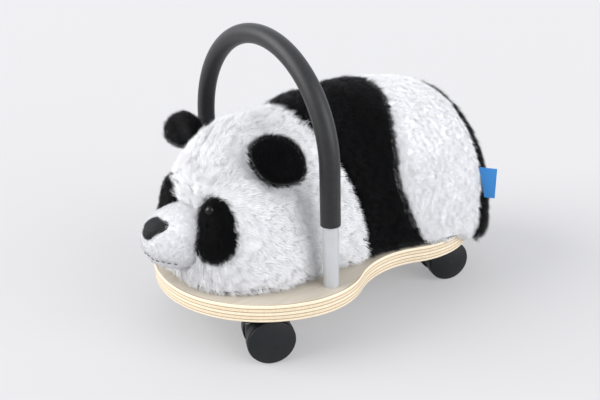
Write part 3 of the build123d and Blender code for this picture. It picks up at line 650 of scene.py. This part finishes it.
# %% [markdown]
# ## Growing the pile
# Geometry Nodes scatter the locks over a skin. Each lock stands on the skin's normal and bends
# over along the way that the coat is combed, and a slow noise pushes that way about, which gives
# the tousled look. A stored attribute says where the pile grows, so that none grows inwards.

# %% Pile tree
def pile_tree():
    """Geometry tree that turns a skin into its pile."""
    tree = bpy.data.node_groups.new("pile", "GeometryNodeTree")
    sockets = tree.interface
    sockets.new_socket("Skin", in_out="INPUT", socket_type="NodeSocketGeometry")
    for name in ("Density", "Length", "Lift", "Tousle", "Swirl"):
        sockets.new_socket(name, in_out="INPUT", socket_type="NodeSocketFloat")
    sockets.new_socket("Comb", in_out="INPUT", socket_type="NodeSocketVector")
    sockets.new_socket("Parting", in_out="INPUT", socket_type="NodeSocketVector")
    sockets.new_socket("Away", in_out="INPUT", socket_type="NodeSocketFloat")
    sockets.new_socket("Seed", in_out="INPUT", socket_type="NodeSocketInt")
    sockets.new_socket("Locks", in_out="INPUT", socket_type="NodeSocketCollection")
    sockets.new_socket("Fibre", in_out="INPUT", socket_type="NodeSocketMaterial")
    sockets.new_socket("Pile", in_out="OUTPUT", socket_type="NodeSocketGeometry")
    given = add_node(tree, "NodeGroupInput").outputs

    grows = add_node(tree, "GeometryNodeInputNamedAttribute", {"Name": "grows"}, data_type="FLOAT")
    thick = add_node(tree, "ShaderNodeMath", {0: grows.outputs["Attribute"], 1: given["Density"]},
                     operation="MULTIPLY")
    points = add_node(tree, "GeometryNodeDistributePointsOnFaces", {
        "Mesh": given["Skin"], "Density": thick.outputs[0], "Seed": given["Seed"]})
    normal = points.outputs["Normal"]

    place = add_node(tree, "GeometryNodeInputPosition")
    wander = add_node(tree, "ShaderNodeTexNoise", {"Vector": place.outputs[0], "Scale": given["Swirl"],
                                                   "Detail": 2.0})
    centred = add_node(tree, "ShaderNodeVectorMath", {0: wander.outputs["Color"], 1: (0.5, 0.5, 0.5)},
                       operation="SUBTRACT")
    pushed = add_node(tree, "ShaderNodeVectorMath", {0: centred.outputs[0], "Scale": given["Tousle"]},
                      operation="SCALE")
    from_parting = add_node(tree, "ShaderNodeVectorMath", {0: place.outputs[0], 1: given["Parting"]},
                            operation="SUBTRACT")
    radial = add_node(tree, "ShaderNodeVectorMath", {0: from_parting.outputs[0]}, operation="NORMALIZE")
    fanned = add_node(tree, "ShaderNodeVectorMath", {0: radial.outputs[0], "Scale": given["Away"]},
                      operation="SCALE")
    combed = add_node(tree, "ShaderNodeVectorMath", {0: given["Comb"], 1: fanned.outputs[0]},
                      operation="ADD")
    way = add_node(tree, "ShaderNodeVectorMath", {0: combed.outputs[0], 1: pushed.outputs[0]},
                   operation="ADD")

    jitter = add_node(tree, "FunctionNodeRandomValue", {0: (-0.3, -0.3, -0.3), 1: (0.3, 0.3, 0.3),
                                                        "Seed": 11}, data_type="FLOAT_VECTOR")
    stand = add_node(tree, "ShaderNodeVectorMath", {0: normal, 1: jitter.outputs[0]}, operation="ADD")
    aim = add_node(tree, "FunctionNodeAxesToRotation", {0: stand.outputs[0], 1: way.outputs[0]},
                   primary_axis="Z", secondary_axis="X")
    size = add_node(tree, "FunctionNodeRandomValue", {2: 0.7, 3: 1.15, "Seed": 23}, data_type="FLOAT")
    long = add_node(tree, "ShaderNodeMath", {0: size.outputs[1], 1: given["Length"]}, operation="MULTIPLY")
    rise = add_node(tree, "ShaderNodeMath", {0: long.outputs[0], 1: given["Lift"]}, operation="MULTIPLY")
    scale = add_node(tree, "ShaderNodeCombineXYZ", {"X": long.outputs[0], "Y": long.outputs[0],
                                                    "Z": rise.outputs[0]})
    kinds = add_node(tree, "GeometryNodeCollectionInfo", {
        "Collection": given["Locks"], "Separate Children": True, "Reset Children": True})
    kind = add_node(tree, "FunctionNodeRandomValue", {4: 0, 5: LOCK_KINDS - 1, "Seed": 31}, data_type="INT")
    grown = add_node(tree, "GeometryNodeInstanceOnPoints", {
        "Points": points.outputs["Points"], "Instance": kinds.outputs[0], "Pick Instance": True,
        "Instance Index": kind.outputs[2], "Rotation": aim.outputs[0], "Scale": scale.outputs[0]})
    tint = add_node(tree, "FunctionNodeRandomValue", {2: 0.0, 3: 1.0, "Seed": 47}, data_type="FLOAT")
    tinted = add_node(tree, "GeometryNodeStoreNamedAttribute", {
        "Geometry": grown.outputs[0], "Name": "shade", "Value": tint.outputs[1]},
        data_type="FLOAT", domain="INSTANCE")
    rooted = add_node(tree, "GeometryNodeStoreNamedAttribute", {
        "Geometry": tinted.outputs[0], "Name": "skin_normal", "Value": normal},
        data_type="FLOAT_VECTOR", domain="INSTANCE")
    real = add_node(tree, "GeometryNodeRealizeInstances", {"Geometry": rooted.outputs[0]})
    dyed = add_node(tree, "GeometryNodeSetMaterial", {"Geometry": real.outputs[0],
                                                      "Material": given["Fibre"]})
    result = add_node(tree, "NodeGroupOutput")
    tree.links.new(dyed.outputs[0], result.inputs[0])
    return tree


PILE = pile_tree()


def set_inputs(modifier, values):
    """Set a Geometry Nodes modifier's inputs by their names in the tree."""
    for item in modifier.node_group.interface.items_tree:
        if item.in_out == "INPUT" and item.name in values:
            modifier[item.identifier] = values[item.name]


def mark_growth(skin, keep):
    """Store where the pile grows: keep(point, normal) gives 0 to 1."""
    grows = skin.data.attributes.new("grows", "FLOAT", "POINT")
    for vertex in skin.data.vertices:
        grows.data[vertex.index].value = keep(vertex.co, vertex.normal)


def grow_pile(skin, name, slot, **values):
    """Pile of one skin as a plain mesh of its own."""
    source = new_object(name, skin.data.copy())
    modifier = source.modifiers.new("pile", "NODES")
    modifier.node_group = PILE
    settings = {"Locks": lock_store, "Fibre": finishes[slot], "Seed": 1, "Lift": 1.0, "Swirl": 30.0,
                "Tousle": 1.0, "Comb": (0.0, 0.4, -0.8), "Parting": (0.0, 0.0, 0.0), "Away": 0.0}
    settings.update(values)
    set_inputs(modifier, settings)
    shaped = bpy.data.meshes.new_from_object(source.evaluated_get(bpy.context.evaluated_depsgraph_get()))
    source.modifiers.clear()
    source.data = shaped
    print(name, "locks:", len(shaped.polygons) // (HAIR_FACES * HAIRS_PER_LOCK))
    return source


def join(first, second):
    """Add the second object's mesh to the first one's."""
    with bpy.context.temp_override(active_object=first, selected_editable_objects=[first, second]):
        bpy.ops.object.join()


def wear(skin, slot, node, fill, **pile_values):
    """Give a skin its cloth and pile, and let it stand for its measured part."""
    skin.data.materials.clear()
    skin.data.materials.append(finishes[slot])
    coat = grow_pile(skin, f"{skin.name}_pile", slot, **pile_values)
    join(skin, coat)
    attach(skin, BODY)
    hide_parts(node)


# %% [markdown]
# ## Eye patches, nose and ears
# The patches and the nose are thin pads sewn on a rounded surface. Rays cast back onto the skin
# find where each point of the pad lies, so the pad follows whatever is under it, and it rises in
# the middle. An ear is a stuffed half disc: its own straight side is sewn into the head, and its
# front is a little hollow. All three are one closed form: rings that grow from a middle point, with
# a front and a back.

# %% Closed pad form
RING_COUNT = 10
SIDE_COUNT = 40
RAY_START = 50 * MM
PAD_BACK = 2 * MM


def closed_pad(name, surface):
    """Closed form from surface(radius, angle, side), with side +1 in front and -1 behind."""
    shape = bmesh.new()
    rims = {}
    for side in (1, -1):
        middle = shape.verts.new(surface(0.0, 0.0, side))
        inner = None
        for ring in range(1, RING_COUNT + 1):
            if ring == RING_COUNT and side == -1:
                outer = rims[1]
            else:
                outer = [shape.verts.new(surface(ring / RING_COUNT, math.tau * k / SIDE_COUNT, side))
                         for k in range(SIDE_COUNT)]
            for k in range(SIDE_COUNT):
                after = (k + 1) % SIDE_COUNT
                loop = [middle, outer[k], outer[after]] if inner is None else [
                    inner[k], outer[k], outer[after], inner[after]]
                shape.faces.new(loop if side == 1 else loop[::-1])
            inner = outer
        rims[side] = outer
    bmesh.ops.recalc_face_normals(shape, faces=shape.faces)
    mesh = bpy.data.meshes.new(name)
    shape.to_mesh(mesh)
    shape.free()
    mesh.shade_smooth()
    return new_object(name, mesh)


def skin_tree(skin):
    return BVHTree.FromPolygons([v.co for v in skin.data.vertices],
                                [tuple(p.vertices) for p in skin.data.polygons])


def draped_pad(name, skin, middle, out, outline, seat, rise):
    """Pad sewn on a skin: outline(angle) gives its edge as (across, up), seat lifts its edge."""
    tree = skin_tree(skin)
    out = out.normalized()
    across = Vector((0, 0, 1)).cross(out).normalized()
    up = out.cross(across)

    def surface(radius, angle, side):
        wide, high = outline(angle)
        start = middle + across * wide * radius + up * high * radius
        found = tree.ray_cast(start + out * RAY_START, -out)[0] or start
        crown = rise * (1 - radius**4) if side == 1 else 0.0
        sunk = -PAD_BACK if side == -1 else seat * (1 - radius**6)
        return found + out * (sunk + crown)

    return closed_pad(name, surface)


# %% Eye patches
PATCH_WIDTH = 46 * MM
PATCH_HEIGHT = 65 * MM
BEAD_CLEARANCE = 5.0 * MM
beads = [sum(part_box(f"eye_bead_{side}"), Vector()) / 2 for side in ("left", "right")]


def patch_outline(side):
    """Bean: narrower above, and fuller below on its outer side."""
    def outline(angle):
        wide, high = math.cos(angle), math.sin(angle)
        fuller = 1 - 0.12 * high + 0.10 * max(0.0, wide * side) * max(0.0, -high)
        return PATCH_WIDTH / 2 * wide * fuller, PATCH_HEIGHT / 2 * high
    return outline


def off_beads(point, normal):
    """Pile everywhere but round the beads."""
    return 1.0 if min((point - bead).length for bead in beads) > BEAD_CLEARANCE else 0.0


patches = []
for name, side, middle in (("left", 1, place(46, -90, 64)), ("right", -1, place(-42, -90, 66))):
    pad = draped_pad(f"eye_patch_{name}_pad", covers["head_cover"], middle,
                     Vector((side * 0.62, -0.70, 0.35)), patch_outline(side), PILE_ROOM, 2.5 * MM)
    patches.append(new_object("patch_form", pad.data.copy()))
    mark_growth(pad, off_beads)
    wear(pad, "black_fur", f"eye_patch_{name}", 0.8, Density=260000.0, Length=7 * MM,
         Comb=(side * 0.2, 0.2, -0.8), Tousle=1.2)

# %% Ears
EAR_REACH = 42 * MM
EAR_HALF_WIDTH = 27 * MM
EAR_THICKNESS = 13 * MM
EAR_HOLLOW = 5 * MM
EAR_SUNK = 5 * MM


def ear_pad(name, root, along_base, rising):
    """Stuffed half disc that rises from its base line, a little hollow in front."""
    along_base = along_base.normalized()
    front = along_base.cross(rising).normalized()
    if front.y > 0:
        front = -front
    rising = rising.normalized()

    def surface(radius, angle, side):
        wide, high = math.cos(angle), math.sin(angle)
        squeeze = 1 - 0.28 * max(0.0, -high)
        u = EAR_HALF_WIDTH * wide * radius * squeeze
        v = EAR_REACH / 2 * (1 + high * radius) - EAR_SUNK
        swell = EAR_THICKNESS / 2 * math.sqrt(max(0.0, 1 - radius**3)) * side
        hollow = -EAR_HOLLOW * (1 - radius**2) if side == 1 else 0.0
        curl = EAR_HOLLOW * wide * wide * radius
        return root + along_base * u + rising * v + front * (swell + hollow + curl)

    return closed_pad(name, surface)


ears = {
    "left": (place(73, -41, 115), Vector((18.8, 14.8, -13.7)), Vector((13, 15, 34))),
    "right": (place(-68, -42, 117), Vector((-20.9, -5, -12.9)), Vector((-29, -5, 21))),
}
ear_pads = []
for name, (root, along_base, rising) in ears.items():
    pad = ear_pad(f"ear_{name}_pad", root, along_base, rising)
    ear_pads.append(new_object("ear_form", pad.data.copy()))
    mark_growth(pad, lambda point, normal: 1.0)
    wear(pad, "black_fur", f"ear_{name}", 0.8, Density=300000.0, Length=9 * MM,
         Comb=tuple(rising.normalized()), Tousle=1.2)

# %% [markdown]
# ## Muzzle and mouth
# The muzzle is a separate panel of short pile, stuffed firm. The mouth is a line of stitches pulled
# tight, which presses a groove into it. The same curve therefore makes both: the skin's points near
# it are pressed in, and the stitches are set along it.

# %% Muzzle
MUZZLE_PILE = 3.0 * MM
MUZZLE_DEPTH = 60.0 * MM
MUZZLE_BLUNTNESS = 2.5
MUZZLE_ROOT = place(0, -78, 0).y
MOUTH_HALF_WIDTH = 27.0
MOUTH_MIDDLE = 38.0
MOUTH_FALL = 0.2
MOUTH_DEPTH = 2.6 * MM
MOUTH_GROOVE = 3.2
BRIDGE_NARROWING = 0.12
BRIDGE_START, BRIDGE_END = place(0, -104, 0).y, place(0, -142, 0).y
BRIDGE_FOOT, BRIDGE_TOP = 42, 70  # mm above the board


def mouth_height(x):
    """Height of the mouth's line above the board, in mm, at a distance from the middle."""
    return MOUTH_MIDDLE - MOUTH_FALL * abs(x)


def press_mouth(skin):
    for vertex in skin.data.vertices:
        x = vertex.co.x / MM
        gap = (vertex.co.z - BOARD_TOP) / MM - mouth_height(x)
        near = math.exp(-(gap / MOUTH_GROOVE) ** 2) * (1 - smooth_step(abs(x), MOUTH_HALF_WIDTH - 8,
                                                                     MOUTH_HALF_WIDTH + 3))
        if vertex.normal.y < 0:
            vertex.co -= vertex.normal * MOUTH_DEPTH * near


def narrow_bridge(skin):
    """Draw the muzzle in a little towards the nose, over the mouth."""
    for vertex in skin.data.vertices:
        forward = smooth_step(vertex.co.y, BRIDGE_START, BRIDGE_END)
        upward = smooth_step((vertex.co.z - BOARD_TOP) / MM, BRIDGE_FOOT, BRIDGE_TOP)
        vertex.co.x *= 1 - BRIDGE_NARROWING * forward * upward


def muzzle_ball():
    """Blunt ball that fills the muzzle's measured space and runs back into the head."""
    shape = bmesh.new()
    bmesh.ops.create_icosphere(shape, subdivisions=5, radius=1.0)
    front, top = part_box("muzzle")[0].y + MUZZLE_PILE / 2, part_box("muzzle")[1].z - MUZZLE_PILE
    bottom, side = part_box("muzzle")[0].z + MUZZLE_PILE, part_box("muzzle")[1].x - MUZZLE_PILE
    middle = Vector((0, front + MUZZLE_DEPTH, (top + bottom) / 2))
    reach = Vector((side, MUZZLE_DEPTH, (top - bottom) / 2))
    for vertex in shape.verts:
        way = vertex.co.normalized()
        blunt = sum(abs(way[k] / reach[k]) ** MUZZLE_BLUNTNESS for k in range(3))
        vertex.co = middle + way * blunt ** (-1 / MUZZLE_BLUNTNESS)
    mesh = bpy.data.meshes.new("muzzle_pad")
    shape.to_mesh(mesh)
    shape.free()
    mesh.shade_smooth()
    return new_object("muzzle_pad", mesh)


muzzle = muzzle_ball()
narrow_bridge(muzzle)
press_mouth(muzzle)
muzzle_tree = skin_tree(muzzle)
muzzle_form = new_object("muzzle_form", muzzle.data.copy())
mark_growth(muzzle, lambda point, normal: 1.0 if point.y < MUZZLE_ROOT else 0.0)
wear(muzzle, "white_short_pile", "muzzle", 0.9, Density=300000.0, Length=3.2 * MM, Tousle=0.5,
     Swirl=20.0, Lift=0.8)

# %% Nose
NOSE_HALF_WIDTH = 13 * MM
NOSE_HALF_HEIGHT = 10.5 * MM


def nose_outline(angle):
    """Rounded triangle that points down."""
    radius = 1 + 0.16 * math.cos(3 * (angle + math.pi / 2))
    return NOSE_HALF_WIDTH * radius * math.cos(angle), NOSE_HALF_HEIGHT * radius * math.sin(angle)


nose = draped_pad("nose_pad", muzzle_form, place(4, -134, 65.5), Vector((0, -0.95, 0.3)), nose_outline,
                  MUZZLE_PILE, 1.6 * MM)
mark_growth(nose, lambda point, normal: 1.0)
wear(nose, "black_short_pile", "nose", 0.9, Density=900000.0, Length=1.6 * MM, Tousle=0.6)

# %% [markdown]
# The stitches repeat along the mouth's line, so Geometry Nodes set them: the line is measured off
# in equal steps, and each step takes one short thread, turned along it.

# %% Stitches
STITCH_LENGTH = 4.2 * MM
STITCH_RADIUS = 0.45 * MM
STITCH_STEP = 6.0 * MM
MOUTH_END = 26
BEFORE_MUZZLE = -170


def stitch_tree():
    """Geometry tree that sets threads along a line."""
    tree = bpy.data.node_groups.new("stitches", "GeometryNodeTree")
    sockets = tree.interface
    sockets.new_socket("Line", in_out="INPUT", socket_type="NodeSocketGeometry")
    for name in ("Length", "Radius", "Step"):
        sockets.new_socket(name, in_out="INPUT", socket_type="NodeSocketFloat")
    sockets.new_socket("Thread", in_out="INPUT", socket_type="NodeSocketMaterial")
    sockets.new_socket("Stitches", in_out="OUTPUT", socket_type="NodeSocketGeometry")
    given = add_node(tree, "NodeGroupInput").outputs
    line = add_node(tree, "GeometryNodeMeshToCurve", {"Mesh": given["Line"]})
    steps = add_node(tree, "GeometryNodeResampleCurve", {"Curve": line.outputs[0], "Length": given["Step"]},
                     mode="LENGTH")
    points = add_node(tree, "GeometryNodeCurveToPoints", {"Curve": steps.outputs[0]}, mode="EVALUATED")
    thread = add_node(tree, "GeometryNodeMeshUVSphere", {"Segments": 8, "Rings": 6, "Radius": 1.0})
    half = add_node(tree, "ShaderNodeMath", {0: given["Length"], 1: 0.5}, operation="MULTIPLY")
    size = add_node(tree, "ShaderNodeCombineXYZ", {"X": given["Radius"], "Y": given["Radius"],
                                                   "Z": half.outputs[0]})
    turn = add_node(tree, "FunctionNodeAlignRotationToVector", {"Vector": points.outputs["Tangent"]},
                    axis="Z")
    sewn = add_node(tree, "GeometryNodeInstanceOnPoints", {
        "Points": points.outputs["Points"], "Instance": thread.outputs["Mesh"],
        "Rotation": turn.outputs[0], "Scale": size.outputs[0]})
    real = add_node(tree, "GeometryNodeRealizeInstances", {"Geometry": sewn.outputs[0]})
    dyed = add_node(tree, "GeometryNodeSetMaterial", {"Geometry": real.outputs[0],
                                                      "Material": given["Thread"]})
    result = add_node(tree, "NodeGroupOutput")
    tree.links.new(dyed.outputs[0], result.inputs[0])
    return tree


mouth_line = []
for x in range(-MOUTH_END, MOUTH_END + 1, 2):
    start = place(x, BEFORE_MUZZLE, mouth_height(x))
    found, normal = muzzle_tree.ray_cast(start, Vector((0, 1, 0)))[:2]
    mouth_line.append(found + normal * MUZZLE_PILE * 0.6)
line_mesh = bpy.data.meshes.new("mouth_stitches")
line_mesh.from_pydata(mouth_line, [(k, k + 1) for k in range(len(mouth_line) - 1)], [])
mouth = new_object("mouth_stitches", line_mesh)
modifier = mouth.modifiers.new("stitches", "NODES")
modifier.node_group = stitch_tree()
set_inputs(modifier, {"Length": STITCH_LENGTH, "Radius": STITCH_RADIUS, "Step": STITCH_STEP,
                      "Thread": finishes["black_short_pile"]})
apply_modifiers(mouth)
mouth.data.shade_smooth()
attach(mouth, BODY)
print("stitch faces:", len(mouth.data.polygons))

# %% [markdown]
# The body's own coat comes last, because it leaves room for what is sewn on it. A point of the skin
# that lies inside a pad grows nothing: a ray sent outwards from it leaves the pad again, and so
# meets its surface from within.

# %% Grow the body's pile
LEAST_OUTWARD = 0.1
SKIN_CLEAR = 0.5 * MM
sewn_on = [skin_tree(pad) for pad in (*patches, *ear_pads, muzzle_form)]


def inside_a_pad(point, normal):
    for tree in sewn_on:
        found, face_normal = tree.ray_cast(point + normal * SKIN_CLEAR, normal)[:2]
        if found and face_normal.dot(normal) > 0:
            return True
    return False


def faces_out(point, normal):
    """Pile on the outside only, and none under what is sewn on."""
    if normal.dot(outward(point)) < LEAST_OUTWARD or inside_a_pad(point, normal):
        return 0.0
    return 1.0


muzzle_low, muzzle_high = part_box("muzzle")
face_middle = Vector((0, muzzle_high.y, (muzzle_low.z + muzzle_high.z) / 2))
LONG_DENSITY = 110000.0
for node, slot, values in (
        ("head_cover", "white_fur", {"Length": 11 * MM, "Comb": (0.0, 0.3, -0.45), "Parting": face_middle,
                                     "Away": 0.8, "Tousle": 2.2, "Swirl": 45.0}),
        ("shoulder_band", "black_fur", {"Length": 10 * MM, "Tousle": 1.4, "Swirl": 35.0}),
        ("rear_band", "white_fur", {"Length": 9 * MM, "Tousle": 1.0, "Swirl": 22.0, "Lift": 0.8}),
        ("rear_panel", "black_fur", {"Length": 10 * MM, "Tousle": 1.2})):
    mark_growth(covers[node], faces_out)
    wear(covers[node], slot, node, 0.9, Density=LONG_DENSITY, **values)

# %% [markdown]
# ## Filling
# The filling can't be seen, but it's a part of its own, so it gets the same padded treatment. It
# starts as far under its measured surface as the covers do, swells less than they do, and is pressed
# in at the face, so that it never comes through the coat.

# %% Filling
FILLING_SINK = 5.0 * MM
FILLING_VOXEL = 6.0 * MM
FILLING_SWELL = 1.0 * MM
for form in (*patches, *ear_pads, muzzle_form):
    bpy.data.objects.remove(form)
filling = padded_cover("seat_core", "filling", FILLING_SINK, FILLING_VOXEL, FILLING_SWELL)
flatten_face(filling)
filling.data.materials.clear()
filling.data.materials.append(finishes["filling"])
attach(filling, BODY)
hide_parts("seat_core")
